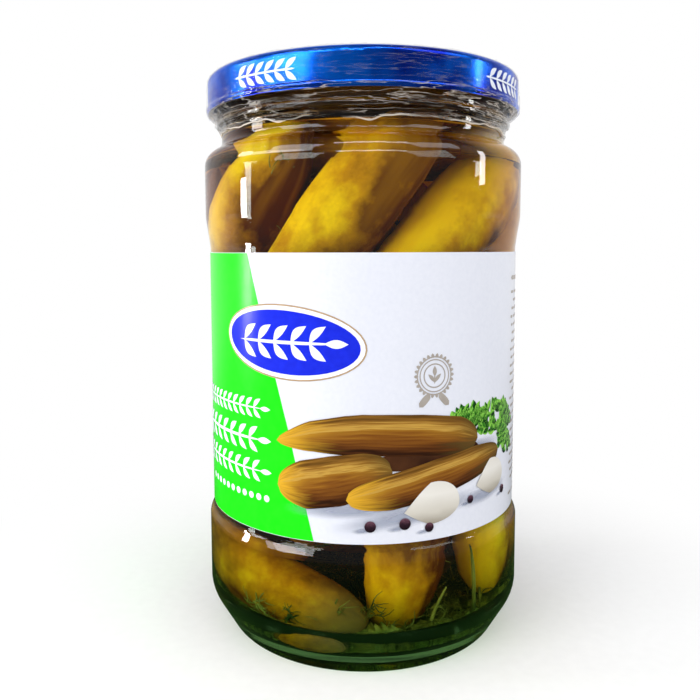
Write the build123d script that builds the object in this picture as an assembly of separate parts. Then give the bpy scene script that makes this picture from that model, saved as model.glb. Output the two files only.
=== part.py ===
"""A sealed glass jar of pickled cucumbers: jar, twist-off lid, shrink band, paper label and brine.

Millimetres, +Z up. The origin is the centre of the ring that the jar stands on, and -Y is the
front, where the middle of the label faces. Every piece but the thread, the lugs and the label's
overlap is turned about Z, so each one starts as an outline of (radius, height) corners.
"""

from build123d import *
from math import acos, atan2, cos, degrees, hypot, radians, sin, tan
import os

# ---- driving dimensions -----------------------------------------------------------------------

# Glass body
body_diameter = 86.6  # the bands above and below the label, which touch the next jar in a box
wall = 2.7
panel_depth = 1.2  # how far the label panel is set back from the bands
heel_set_in = 7.8  # from the body's side in to the middle of the ring that stands on the table
bearing_width = 3.4
push_up = 3.0  # rise of the underside inside the bearing ring
push_up_slope = 6.0  # how far in that rise takes
floor_thickness = 4.0
heel_height = 10.5
lower_band_height = 20.0
lower_ramp = 2.6  # height over which the lower band falls back to the panel
panel_height = 70.4
upper_ramp = 8.0
upper_band_height = 16.0
shoulder_rise = 2.8
neck_height = 4.4

# Roundings of the glass body
foot_rounding = 2.4
heel_rounding = 9.0
lower_rounding = 3.0  # both ends of the lower ramp
upper_rounding = 14.0  # both ends of the upper ramp
shoulder_rounding = 4.5
neck_rounding = 2.4
inner_rounding = 5.0

# Glass finish, the part that the lid screws on to
finish_diameter = 78.8
finish_height = 11.0  # from the bead's top to the sealing rim
finish_wall = 3.2
neck_set_in = 0.8  # the neck's radius is this much less than the finish's
bead_stand_out = 0.5
bead_height = 2.4
rim_round = 1.2
thread_count = 6
thread_depth = 1.1
thread_width = 1.7
thread_arc = 50.0  # degrees that one thread covers
thread_rise = 2.0  # how much higher its end is than its start
thread_root = 0.6  # how deep the ridge is rooted in the wall

# Lid, pressed from lacquered steel sheet
steel = 0.25
lid_clearance = 1.4  # from the threads out to the inside of the skirt
lid_above_bead = 1.85
lid_corner = 1.7
curl_diameter = 1.8
curl_stand_out = 0.35  # the curled edge's radius is this much more than the skirt's
seal_overhang = 0.9  # how far the raised ring that presses on the rim reaches in past the mouth
panel_drop = 1.5  # how far the middle of the lid lies below that ring
button_diameter = 30.0
button_rise = 0.5
button_slope = 2.0
lug_arc = 13.0
lug_height = 1.3
lug_above_edge = 0.2
lug_clearance = 0.45  # between a lug's tip and the finish
lug_play = 0.3  # between a lug's top and the low end of the thread that it slides under

# Shrink band, clear film over the lid's side and the neck
film = 0.12
film_gap = 0.05
film_fold = 4.0  # how far it lies over the lid's top

# Label
paper = 0.14
label_margin = 1.3  # bare panel above the label, and below it
label_overlap = 8.0  # double paper at the back seam, measured round the jar

# Brine
headspace = 16.0  # from the rim down to the liquid

# ---- sizes that follow ------------------------------------------------------------------------

body_radius = body_diameter / 2
panel_radius = body_radius - panel_depth
bearing_radius = body_radius - heel_set_in
finish_radius = finish_diameter / 2
neck_radius = finish_radius - neck_set_in
bead_radius = finish_radius + bead_stand_out
mouth_radius = finish_radius - finish_wall
thread_radius = finish_radius + thread_depth
skirt_radius = thread_radius + lid_clearance + steel
lid_radius = skirt_radius + curl_stand_out

band_top = heel_height + lower_band_height
panel_bottom = band_top + lower_ramp
panel_top = panel_bottom + panel_height
upper_band_bottom = panel_top + upper_ramp
shoulder = upper_band_bottom + upper_band_height
neck_bottom = shoulder + shoulder_rise
bead_bottom = neck_bottom + neck_height
bead_top = bead_bottom + bead_height
bead_slope = bead_height / 4  # height of the sloped edge above and below the bead
shoulder_slope = atan2(shoulder_rise, body_radius - neck_radius)
neck_foot = neck_rounding / tan(radians(45) + shoulder_slope / 2)  # how far the rounding climbs the neck
rim = bead_top + finish_height

lid_top = rim + steel
lid_bottom = bead_top + lid_above_bead
lug_top = lid_bottom + lug_above_edge + lug_height
brine_level = rim - headspace


# ---- helpers ----------------------------------------------------------------------------------


def unit(a, b):
    """The direction from point a to point b, and the distance between them."""
    length = hypot(b[0] - a[0], b[1] - a[1])
    return ((b[0] - a[0]) / length, (b[1] - a[1]) / length), length


def rounded_face(points):
    """A flat face in the XZ plane from (radius, height, rounding) corners, joined up in order.

    A rounding is a tangent arc, and is limited to what its two straight runs leave room for.
    """
    edges = []
    previous_end = None
    first_start = None
    count = len(points)
    for i, (x, z, rounding) in enumerate(points):
        back, back_run = unit((x, z), points[i - 1][:2])
        ahead, ahead_run = unit((x, z), points[(i + 1) % count][:2])
        opening = acos(max(-1.0, min(1.0, back[0] * ahead[0] + back[1] * ahead[1])))
        reach = 0.0
        if rounding > 0 and opening < radians(179.5):
            reach = min(rounding / tan(opening / 2), 0.48 * back_run, 0.48 * ahead_run)
        start = (x + back[0] * reach, z + back[1] * reach)
        end = (x + ahead[0] * reach, z + ahead[1] * reach)
        if previous_end is not None:
            edges.append(Line((previous_end[0], 0, previous_end[1]), (start[0], 0, start[1])))
        if reach > 0:
            radius = reach * tan(opening / 2)
            to_middle = radius / sin(opening / 2) - radius
            bisector, _ = unit((0, 0), (back[0] + ahead[0], back[1] + ahead[1]))
            middle = (x + bisector[0] * to_middle, 0, z + bisector[1] * to_middle)
            edges.append(ThreePointArc((start[0], 0, start[1]), middle, (end[0], 0, end[1])))
        first_start = first_start or start
        previous_end = end
    edges.append(Line((previous_end[0], 0, previous_end[1]), (first_start[0], 0, first_start[1])))
    return make_face(Wire(edges))


def turned(points, arc=360.0):
    """The solid that the corners make when they are turned about Z."""
    return revolve(rounded_face(points), Axis.Z, arc)


def ring_piece(low_radius, high_radius, low, high, middle_angle, arc):
    """A block bent round Z: a slice of a ring, centred on middle_angle degrees."""
    outline = [(low_radius, low, 0), (high_radius, low, 0), (high_radius, high, 0), (low_radius, high, 0)]
    return turned(outline, arc).rotate(Axis.Z, middle_angle - arc / 2)


# ---- glass jar --------------------------------------------------------------------------------


def outside_of_glass():
    """Corners of the jar's outer shape, from the underside to the rim."""
    half_ring = bearing_width / 2
    return [
        (0, push_up, 0),
        (bearing_radius - half_ring - push_up_slope, push_up, heel_rounding),
        (bearing_radius - half_ring, 0, foot_rounding / 2),
        (bearing_radius + half_ring, 0, foot_rounding),
        (body_radius, heel_height, heel_rounding),
        (body_radius, band_top, lower_rounding),
        (panel_radius, panel_bottom, lower_rounding),
        (panel_radius, panel_top, upper_rounding),
        (body_radius, upper_band_bottom, upper_rounding),
        (body_radius, shoulder, shoulder_rounding),
        (neck_radius, neck_bottom, neck_rounding),
        (neck_radius, bead_bottom, bead_slope),
        (bead_radius, bead_bottom + bead_slope, bead_slope),
        (bead_radius, bead_top - bead_slope, bead_slope),
        (finish_radius, bead_top, bead_slope),
        (finish_radius, rim, rim_round),
        (0, rim, 0),
    ]


def inside_of_glass():
    """Corners of the hollow in the jar, from its floor up through the mouth."""
    inner_body = body_radius - wall
    inner_panel = panel_radius - wall
    floor = push_up + floor_thickness
    under_shoulder = wall / cos(shoulder_slope)  # glass measured upwards through the slope
    neck_end = neck_bottom + (neck_radius - mouth_radius) * tan(shoulder_slope) - under_shoulder
    return [
        (0, floor, 0),
        (bearing_radius - bearing_width, floor - push_up / 2, inner_rounding),
        (inner_body, heel_height + wall, inner_rounding),
        (inner_body, band_top, inner_rounding),
        (inner_panel, panel_bottom, inner_rounding),
        (inner_panel, panel_top, upper_rounding),
        (inner_body, upper_band_bottom, upper_rounding),
        (inner_body, shoulder + wall * tan(shoulder_slope) - under_shoulder, inner_rounding),
        (mouth_radius, neck_end, neck_rounding),
        (mouth_radius, rim - rim_round, rim_round),
        (mouth_radius + rim_round, rim, 0),
        (0, rim, 0),
    ]


def thread():
    """One thread of the finish: a low ridge that rises anticlockwise, as a right-hand thread does."""
    path = Helix(pitch=thread_rise * 360 / thread_arc, height=thread_rise, radius=finish_radius)
    start = Plane(origin=path @ 0, x_dir=(1, 0, 0), z_dir=path % 0)
    half = thread_width / 2
    section = Polygon(
        (-thread_root, -half),
        (0, -half),
        (thread_depth, -half / 2),
        (thread_depth, half / 2),
        (0, half),
        (-thread_root, half),
        align=None,
    )
    return sweep(start * section, path=path, is_frenet=True)


def make_glass():
    blank = turned(outside_of_glass())
    ridge = Pos(0, 0, lug_top + lug_play + thread_width / 2) * thread()
    for i in range(thread_count):
        blank += ridge.rotate(Axis.Z, i * 360 / thread_count)
    return blank - turned(inside_of_glass())


# ---- brine ------------------------------------------------------------------------------------


def make_brine():
    """All that the liquid and what is sunk in it take up, face to face with the glass."""
    below_level = Cylinder(body_radius, brine_level, align=(Align.CENTER, Align.CENTER, Align.MIN))
    return turned(inside_of_glass()) & below_level


# ---- lid --------------------------------------------------------------------------------------


def lid_skin(inset):
    """Corners of the lid's outer skin, or of its inner skin when inset is the sheet's thickness."""
    top = lid_top - inset
    land_inner = mouth_radius - seal_overhang
    slope_shift = inset * tan(radians(22.5))  # keeps the 45 degree slope as thick as the rest
    panel = top - panel_drop
    button_edge = (button_diameter - button_slope) / 2
    return [
        (0, panel + button_rise, 0),
        (button_edge, panel + button_rise, button_slope),
        (button_edge + button_slope, panel, button_slope),
        (land_inner - panel_drop + slope_shift, panel, 3 * steel),
        (land_inner + slope_shift, top, 3 * steel),
        (skirt_radius - inset, top, lid_corner - inset),
        (skirt_radius - inset, lid_bottom, 0),
        (0, lid_bottom, 0),
    ]


def make_lid():
    shell = turned(lid_skin(0)) - turned(lid_skin(steel))
    curl_radius = curl_diameter / 2
    curl_centre = lid_radius - curl_radius
    section = Pos(curl_centre, 0, lid_bottom + curl_radius) * (Plane.XZ * Circle(curl_radius))
    shell += revolve(section, Axis.Z)
    for i in range(thread_count):
        low_end_of_thread = i * 360 / thread_count
        shell += ring_piece(
            finish_radius + lug_clearance,
            curl_centre,
            lug_top - lug_height,
            lug_top,
            low_end_of_thread + lug_arc / 2,
            lug_arc,
        )
    return shell


# ---- shrink band ------------------------------------------------------------------------------


def film_skin(inset):
    """Corners of the band's outer skin, or of its inner skin when inset is the film's thickness.

    It is open below, where it ends just above the neck's rounding, and above, inside its fold.
    """
    out = film_gap + film - inset
    return [
        (skirt_radius - film_fold, lid_top + out, 0),
        (skirt_radius + out, lid_top + out, lid_corner),
        (lid_radius + out, lid_bottom + curl_diameter, bead_slope),
        (lid_radius + out, lid_bottom, bead_slope),
        (bead_radius + out, bead_top, bead_slope),
        (bead_radius + out, bead_bottom + bead_slope, bead_slope),
        (neck_radius + out, bead_bottom - bead_slope, bead_slope),
        (neck_radius + out, neck_bottom + neck_foot, 0),
    ]


def make_shrink_band():
    return turned(film_skin(0) + film_skin(film)[::-1])


# ---- label ------------------------------------------------------------------------------------


def make_label():
    low = panel_bottom + label_margin
    high = panel_top - label_margin
    first = panel_radius + paper
    wrap = ring_piece(panel_radius, first, low, high, 0, 360)
    overlap_arc = degrees(label_overlap / panel_radius)
    return wrap + ring_piece(panel_radius, first + paper, low, high, 90, overlap_arc)


# ---- write the pieces -------------------------------------------------------------------------

makers = {
    "glass_jar": make_glass,
    "brine": make_brine,
    "lid": make_lid,
    "shrink_band": make_shrink_band,
    "label": make_label,
}

os.makedirs("parts", exist_ok=True)
for name, make in makers.items():
    piece = make()
    piece.label = name
    export_step(piece, f"parts/{name}.step")
    box = piece.bounding_box()
    print(f"{name}: {piece.volume / 1000:.2f} cm3, {box.size.X:.1f} x {box.size.Y:.1f} x {box.size.Z:.1f} mm")
print(f"rim at {rim:.1f} mm, lid from {lid_bottom:.1f} to {lid_top:.1f} mm, brine to {brine_level:.1f} mm")
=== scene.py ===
# %% [markdown]
# # A sealed jar of pickled cucumbers
#
# The CAD frame fixes every size: a glass jar, its lid, a shrink band, a label and one solid for the
# brine. This lesson keeps those places and gives each piece its looks. The liquid, the cucumbers and
# the herbs are modelled here, because the CAD solid only says how much room they take up together.

from math import atan2, cos, hypot, pi, radians, sin, sqrt

import bpy
import numpy as np
from mathutils import Matrix, Vector, noise


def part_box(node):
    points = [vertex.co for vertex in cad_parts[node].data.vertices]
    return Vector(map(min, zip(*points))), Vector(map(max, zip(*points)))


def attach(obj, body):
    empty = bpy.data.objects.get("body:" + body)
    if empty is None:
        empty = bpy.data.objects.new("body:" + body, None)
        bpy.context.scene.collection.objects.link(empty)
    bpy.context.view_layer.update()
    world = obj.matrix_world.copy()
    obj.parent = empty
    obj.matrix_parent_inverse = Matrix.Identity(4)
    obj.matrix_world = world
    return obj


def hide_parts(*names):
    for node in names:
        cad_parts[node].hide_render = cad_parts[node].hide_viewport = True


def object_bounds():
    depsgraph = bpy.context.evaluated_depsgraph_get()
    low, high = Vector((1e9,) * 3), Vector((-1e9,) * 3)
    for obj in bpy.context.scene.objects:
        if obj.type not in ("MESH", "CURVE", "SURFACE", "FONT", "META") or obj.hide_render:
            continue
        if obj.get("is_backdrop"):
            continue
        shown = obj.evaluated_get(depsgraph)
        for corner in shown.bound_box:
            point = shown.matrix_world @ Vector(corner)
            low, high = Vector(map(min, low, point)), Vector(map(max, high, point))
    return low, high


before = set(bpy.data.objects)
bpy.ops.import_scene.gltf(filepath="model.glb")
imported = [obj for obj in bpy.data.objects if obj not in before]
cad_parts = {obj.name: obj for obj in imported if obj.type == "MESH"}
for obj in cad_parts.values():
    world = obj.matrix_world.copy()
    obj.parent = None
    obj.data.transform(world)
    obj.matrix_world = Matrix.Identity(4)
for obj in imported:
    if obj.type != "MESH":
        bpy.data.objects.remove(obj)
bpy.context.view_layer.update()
MM = 0.001
glass_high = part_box("glass_jar")[1]
brine_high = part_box("brine")[1]
lid_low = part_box("lid")[0]
label_low, label_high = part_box("label")
print("frame nodes:", sorted(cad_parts), "height in mm:", round(glass_high.z / MM, 1))

# %% [markdown]
# ## Camera
#
# A jar on a shelf is usually seen from close by, level with the label's upper edge. Close up, the
# circles of the lid and the foot bow strongly, so the distance matters as much as the angle. The
# small shift keeps the upright sides nearly upright, which tipping the camera further would not.

# %% Camera
camera_away = 207.3 * MM
camera_height = 102.9 * MM
camera_data = bpy.data.cameras.new("camera")
camera_data.sensor_width = 36.0
camera_data.lens = 37.6
camera_data.shift_x = 0.0068
camera_data.shift_y = -0.0571
camera = bpy.data.objects.new("camera", camera_data)
camera.location = (0.0, -camera_away, camera_height)
camera_down, camera_turn, camera_roll = radians(4.74), radians(1.34), radians(-0.14)
level = Matrix.Rotation(camera_turn, 4, "Z") @ Matrix.Rotation(pi / 2 - camera_down, 4, "X")
camera.rotation_euler = (level @ Matrix.Rotation(camera_roll, 4, "Z")).to_euler()
bpy.context.scene.collection.objects.link(camera)
bpy.context.scene.camera = camera
print("camera", [round(x / MM) for x in camera.location], "mm")

# %% [markdown]
# ## Helpers for colours and nodes
#
# Paint charts and pickers give sRGB hex values, but a shader works with linear light, so one function
# turns the one into the other. A second small function adds a node, sets its options and joins its
# inputs, so that each material below reads as a list of what it is made of.

# %% Colours and nodes


def hex_colour(text):
    """An sRGB hex value, such as "#E7BB02", as linear red, green, blue and alpha."""
    srgb = np.array([int(text[i : i + 2], 16) / 255 for i in (1, 3, 5)])
    linear = np.where(srgb <= 0.04045, srgb / 12.92, ((srgb + 0.055) / 1.055) ** 2.4)
    return (*(float(c) for c in linear), 1.0)


def add(tree, kind, inputs=(), stops=(), **options):
    """Adds a node with its options, the stops of its ramp and its inputs.

    Inputs come in the node's own order, or in a dict by name or number. Each is a value, a hex colour,
    a node or a node's output.
    """
    node = tree.nodes.new("ShaderNode" + kind)
    for name, value in options.items():
        setattr(node, name, value)
    if isinstance(inputs, dict):
        pairs = [(node.inputs[name], value) for name, value in inputs.items()]
    else:
        pairs = zip([socket for socket in node.inputs if socket.enabled], inputs)
    for socket, value in pairs:
        if isinstance(value, bpy.types.Node):
            value = next(output for output in value.outputs if output.enabled)
        if isinstance(value, bpy.types.NodeSocket):
            tree.links.new(value, socket)
        else:
            socket.default_value = hex_colour(value) if isinstance(value, str) else value
    for n, (position, colour) in enumerate(stops):
        held = node.color_ramp.elements
        stop = held[n] if n < 2 else held.new(position)
        stop.position, stop.color = position, hex_colour(colour)
    return node


def new_material(name):
    """An empty material and its node tree."""
    made = bpy.data.materials.new(name)
    made.use_nodes = True
    made.node_tree.nodes.clear()
    return made, made.node_tree


def per_mm(wave):
    """The Scale of a noise whose waves are so many millimetres long, each patch being half a wave."""
    return 1 / (wave * MM)


print("a golden yellow in linear light:", [round(c, 3) for c in hex_colour("#E7BB02")])

# %% [markdown]
# ## Helpers for meshes
#
# Nearly everything here is a skin over a row of rings: the brine, a cucumber, a stem of dill or the
# film round the lid. Blender could spin or loft such shapes by hand, but a grid of points worked out
# with numpy is exact, and lets each ring be pushed about before the faces are made.

# %% Meshes


def unit(rows, least=0.0):
    """Vectors along the last axis made 1 long; a tiny least keeps a vector of no length from failing."""
    return rows / (np.linalg.norm(rows, axis=-1, keepdims=True) + least)


def out_of_profile(outline):
    """Unit directions to the right of a row of (radius, height) points, seen as one goes along it."""
    slope = np.gradient(outline, axis=0)
    return unit(np.stack([slope[:, 1], -slope[:, 0]], axis=1))


def round_about(line, hint, turn, least=0.0):
    """Unit directions out of a line of points, at each angle of turn round it."""
    ahead = unit(np.gradient(line, axis=0), least)
    side = unit(np.cross(ahead, hint), least)
    upward = np.cross(ahead, side)
    return np.cos(turn)[None, :, None] * side[:, None] + np.sin(turn)[None, :, None] * upward[:, None]


def skin_faces(rows, columns, loop_rows=False):
    """Faces between the rings of a grid, each ring being closed."""
    faces = []
    for i in range(rows if loop_rows else rows - 1):
        below = (i + 1) % rows
        for j in range(columns):
            right = (j + 1) % columns
            upper, lower = i * columns, below * columns
            faces.append((upper + j, upper + right, lower + right, lower + j))
    return faces


def capped_skin(rings):
    """Points and faces of a closed skin over rings (row, column, xyz), with a point at each end."""
    rows, columns = rings.shape[:2]
    points = np.vstack([rings.reshape(-1, 3), rings[0].mean(0), rings[-1].mean(0)])
    faces = skin_faces(rows, columns)
    first, last = rows * columns, rows * columns + 1
    end = (rows - 1) * columns
    for j in range(columns):
        right = (j + 1) % columns
        faces.append((first, right, j))
        faces.append((last, end + j, end + right))
    return points, faces


def put_together(meshes):
    """One list of points and one of faces out of several."""
    points, faces, start = [], [], 0
    for part_points, part_faces in meshes:
        points.append(np.asarray(part_points))
        faces += [tuple(start + i for i in face) for face in part_faces]
        start += len(part_points)
    return np.vstack(points), faces


def new_piece(name, points, faces, finish):
    """A mesh piece of the jar, from points in metres, that rides on the one body."""
    data = bpy.data.meshes.new(name)
    data.from_pydata([tuple(p) for p in points], [], faces)
    data.polygons.foreach_set("use_smooth", [True] * len(data.polygons))
    data.materials.append(finish)
    piece = bpy.data.objects.new(name, data)
    bpy.context.scene.collection.objects.link(piece)
    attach(piece, "root")
    triangles = sum(len(face) - 2 for face in faces)
    print(name, "has", triangles, "triangles")
    return piece


def store(piece, name, values):
    """Keeps one number or one vector for each point, which a material can read."""
    kind = "FLOAT" if values.ndim == 1 else "FLOAT_VECTOR"
    field = "value" if values.ndim == 1 else "vector"
    attribute = piece.data.attributes.new(name, kind, "POINT")
    attribute.data.foreach_set(field, values.astype(np.float32).ravel())


print("a skin over 3 rings of 4 points has", len(capped_skin(np.zeros((3, 4, 3)))[1]), "faces")

# %% [markdown]
# ## Glass
#
# The jar is soda-lime glass, blown in a mould, so it is clear, very smooth, faintly green, and never
# quite even: a slow ripple is left where the hot glass met the mould. A Principled shader with full
# transmission bends light as glass does. Lamps would then light the inside only through noisy
# caustics, so rays from lamps pass straight through, which Light Path makes possible.

# %% Blown soda-lime glass


def which_side(tree, place):
    """How far a surface faces away from the jar's axis, and how far up, from -1 to 1."""
    facing = add(tree, "NewGeometry").outputs["True Normal"]
    flat = add(tree, "VectorMath", (place, (1, 1, 0)), operation="MULTIPLY")
    out = add(tree, "VectorMath", (flat,), operation="NORMALIZE")
    outward = add(tree, "VectorMath", (out, facing), operation="DOT_PRODUCT")
    return outward, add(tree, "SeparateXYZ", (facing,)).outputs["Z"]


def lamps_pass(tree, shader, tint):
    """Lets light from lamps and soft bounces straight through a surface that bends what is seen."""
    path = add(tree, "LightPath")
    rays = (path.outputs["Is Shadow Ray"], path.outputs["Is Diffuse Ray"])
    soft = add(tree, "Math", rays, operation="MAXIMUM")
    straight = add(tree, "BsdfTransparent", {"Color": tint})
    return add(tree, "MixShader", (soft, shader, straight))


def soda_lime_glass():
    """Clear glass, green where it is thick, with painted shade on the foot and neck and painted green and
    amber edge-on.
    """
    made, tree = new_material("soda_lime_glass_blown")
    place = add(tree, "TexCoord").outputs["Object"]
    # The ripples that the mould left are about 7 mm wide.
    ripple = add(tree, "TexNoise", {"Vector": place, "Scale": per_mm(14), "Detail": 1.0, "Roughness": 0.4})
    uneven = add(tree, "Bump", {"Height": ripple, "Strength": 0.25, "Distance": 0.4 * MM})
    # The thick foot looks green, and so does the wall where it is seen along its length.
    height = add(tree, "SeparateXYZ", (place,)).outputs["Z"]
    foot = add(tree, "MapRange", (height, 7 * MM, 34 * MM, 1.0, 0.0), interpolation_type="SMOOTHSTEP")
    edge_on = add(tree, "LayerWeight", {"Blend": 0.5}).outputs["Facing"]
    deep = add(tree, "MapRange", (edge_on, 0.2, 0.7, 0.86, 1.0))
    green = add(tree, "Math", (foot, deep), operation="MULTIPLY")
    # Painted shade: from just below the brine's surface upward the neck glass is tinted brown, darkening
    # the headspace seen through it.
    neck = add(tree, "MapRange", (height, brine_high.z - 3 * MM, brine_high.z + 2 * MM, 0.0, 1.0))
    clear = add(tree, "Mix", (neck, "#F9FCF9", "#C8A472"), data_type="RGBA")
    # Painted shade: the foot's green, partly the real green of thick glass, darkens steeply over its lowest
    # 14 mm.
    rising = add(tree, "MapRange", (height, 5 * MM, 14 * MM, 0.0, 1.0))
    iron_green = add(tree, "Mix", (rising, "#16341A", "#467838"), data_type="RGBA")
    tint = add(tree, "Mix", (green, clear, iron_green), data_type="RGBA")
    # Where brine wets the glass there is almost nothing to mirror, so that side loses its shine.
    outward, up = which_side(tree, place)
    wall_inside = add(tree, "Math", (outward, -0.1), operation="LESS_THAN")
    not_outside = add(tree, "Math", (outward, 0.2), operation="LESS_THAN")
    floor_up = add(tree, "Math", (up, 0.5), operation="GREATER_THAN")
    floor_inside = add(tree, "Math", (floor_up, not_outside), operation="MULTIPLY")
    inside = add(tree, "Math", (wall_inside, floor_inside), operation="MAXIMUM")
    below = add(tree, "Math", (height, brine_high.z), operation="LESS_THAN")
    wet = add(tree, "Math", (inside, below), operation="MULTIPLY")
    # Painted reflection: seen edge-on below the brine's surface, the wall's reflection is tinted green low
    # down and amber higher up.
    low_or_high = add(tree, "MapRange", (height, 35 * MM, 90 * MM, 0.0, 1.0))
    beside = add(tree, "Mix", (low_or_high, "#5A7A1C", "#BC5C0C"), data_type="RGBA")
    side_on = add(tree, "MapRange", (edge_on, 0.32, 0.62, 0.0, 1.0))
    full = add(tree, "Math", (height, brine_high.z - 2 * MM), operation="LESS_THAN")
    side_share = add(tree, "Math", (side_on, full), operation="MULTIPLY")
    amber = add(tree, "Mix", (side_share, "#FFFFFF", beside), data_type="RGBA")
    # Painted colour of what is seen through the wall edge-on: green low down, amber higher up.
    held = add(tree, "Mix", (low_or_high, "#8CB060", "#E2A050"), data_type="RGBA")
    held_share = add(tree, "Math", (side_share, 0.75), operation="MULTIPLY")
    tint = add(tree, "Mix", (held_share, tint, held), data_type="RGBA")
    # Painted shade: over the foot the wall's reflection is tinted dark green, as if it mirrored only its
    # own shadow.
    outer_shine = add(tree, "Mix", (green, amber, "#2A4A1C"), data_type="RGBA")
    shine = add(tree, "Mix", (wet, outer_shine, "#000000"), data_type="RGBA")
    glass = add(
        tree,
        "BsdfPrincipled",
        {
            "Base Color": tint,
            "Roughness": 0.0,
            "IOR": 1.52,
            "Transmission Weight": 1.0,
            "Specular Tint": shine,
            "Normal": uneven,
        },
    )
    # Iron in the sand tints thick glass green, while 3 mm of wall stays clear.
    iron = add(tree, "VolumeAbsorption", {"Color": "#8FD892", "Density": 16.0})
    add(tree, "OutputMaterial", {"Surface": lamps_pass(tree, glass, "#F4FAF5"), "Volume": iron})
    return made


def finish_node(node, finish):
    """Gives a CAD node that stays a better material in its own slots."""
    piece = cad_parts[node]
    for held in piece.material_slots:
        held.material = finish
    print(node, "is now", finish.name)


finish_node("glass_jar", soda_lime_glass())

# %% [markdown]
# ## Brine
#
# Vinegar and salt water bend light less than glass. If the liquid stopped exactly at the glass, or
# short of it, the render would show a film of air as a silver skin, so this piece reaches a little way
# into the wall. It creeps up the glass at its rim, which shows as a thin bright line. Its colour is
# an absorption inside it, so it deepens from straw to brown with the depth that one looks through.

# %% Brine
brine_reach = 0.15 * MM
meniscus_height = 1.1 * MM
meniscus_width = 2.6 * MM
brine_level = brine_high.z


def profile_of(node, spacing):
    """(radius, height) points up the skin of a turned CAD node, from its middle below to its rim."""
    corners = np.array([v.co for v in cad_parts[node].data.vertices])
    radius = np.hypot(corners[:, 0], corners[:, 1])
    height = corners[:, 2]
    middle = (height.min() + height.max()) / 2
    order = np.argsort(np.arctan2(radius, middle - height))
    kept = [(0.0, float(height[order[0]]))]
    for i in order:
        point = (float(radius[i]), float(height[i]))
        if hypot(point[0] - kept[-1][0], point[1] - kept[-1][1]) > spacing:
            kept.append(point)
    return np.array(kept)


wall = profile_of("brine", 0.5 * MM)
wall = wall[(wall[:, 0] > 0) & (wall[:, 1] < brine_level - 0.2 * MM)]
brine_corners = np.array([v.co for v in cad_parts["brine"].data.vertices])
on_surface = brine_corners[brine_corners[:, 2] > brine_level - 0.01 * MM]
rim_radius = float(np.hypot(on_surface[:, 0], on_surface[:, 1]).max())


def inner_radius(height):
    """How far out the inside of the glass is, at heights in metres."""
    side = wall[wall[:, 0] > 0.8 * rim_radius]
    return np.interp(height, side[:, 1], side[:, 0])


print("brine skin has", len(wall), "rings; its surface is", round(rim_radius / MM, 1), "mm in radius")


def brine_mesh(around=160):
    """The liquid from the floor up to its surface, with the meniscus at its rim."""
    side = wall + brine_reach * out_of_profile(wall)
    edge = rim_radius + brine_reach
    climb = []
    for share in np.linspace(1, 0, 9):
        fall = meniscus_width * (1 - share)
        climb.append((edge - fall, brine_level + meniscus_height * share**3))
    inner = [(edge * share, brine_level) for share in (0.85, 0.7, 0.5, 0.3, 0.1)]
    outline = np.vstack([side, climb, inner])
    turn = np.linspace(0, 2 * pi, around, endpoint=False)
    rings = np.stack(
        [
            np.outer(outline[:, 0], np.cos(turn)),
            np.outer(outline[:, 0], np.sin(turn)),
            np.outer(outline[:, 1], np.ones(around)),
        ],
        axis=2,
    )
    return capped_skin(rings)


def vinegar_brine():
    """Clear liquid that browns with depth and shines only at its surface."""
    made, tree = new_material("vinegar_brine_clear")
    height = add(tree, "SeparateXYZ", (add(tree, "TexCoord").outputs["Object"],)).outputs["Z"]
    below = add(tree, "Math", (height, brine_level - 0.05 * MM), operation="LESS_THAN")
    shine = add(tree, "Mix", (below, "#FFFFFF", "#000000"), data_type="RGBA")
    liquid = add(
        tree,
        "BsdfPrincipled",
        {"Base Color": "#FFFFFF", "Roughness": 0.0, "IOR": 1.34, "Transmission Weight": 1.0,
         "Specular Tint": shine},
    )
    # Through 75 mm it goes from straw to a deep golden brown.
    tint = add(tree, "VolumeAbsorption", {"Color": "#EFCE5C", "Density": 62.0})
    add(tree, "OutputMaterial", {"Surface": lamps_pass(tree, liquid, "#FFFFFF"), "Volume": tint})
    return made


brine_points, brine_faces = brine_mesh()
brine = new_piece("brine_liquid", brine_points, brine_faces, vinegar_brine())
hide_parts("brine")

# %% [markdown]
# ## Cucumbers: where they lie
#
# A packer stands two layers of small cucumbers in the jar, and they slide together as it is shaken.
# Each one is a bent axis through three points with a chain of balls along it. A simulation could drop
# them in, but then nobody chooses which ones show at the front. Here the front ones are placed one by
# one, and a short loop pushes all of them apart and inside the glass, as settling does.

# %% Axes of the cucumbers
# Start, middle and end of each axis in millimetres and the half thickness. Then how much browner
# (below 0) or yellower (above 0) the skin is made at the start and at the end, partly as riper skin
# and partly as painted shade where the label and the neighbours shade a cucumber, and how green the
# start is. These six show at the front.
front_rows = [
    ((14, -25, 138.5), (-8, -28.5, 105.5), (-24, -15, 73), 10.2, (-0.60, 0.12, 0.0)),
    ((-13, -26, 130), (-29.5, -7, 106), (-27, 14, 80), 10.3, (0.35, -0.10, 0.1)),
    ((29.0, 5, 125.5), (19.5, -23, 108.5), (0, -29, 86), 10.3, (0.60, 0.40, 0.0)),
    ((0, -32, 9.0), (-24, -20, 14.5), (-34, 6, 25), 9.0, (-0.55, -0.75, 0.9)),
    ((8, -28, 66), (10.8, -29.5, 34), (10, -32, 5.6), 9.9, (-2.0, 0.6, 0.0)),
    ((27.5, -14, 13), (28.5, -14.5, 40), (26, -14, 68), 8.4, (0.95, 0.05, 0.0)),
]


def on_ring(ring, turn, height):
    """A point at so many degrees round the jar, to the right from its front."""
    return (ring * sin(radians(turn)), -ring * cos(radians(turn)), height)


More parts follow.
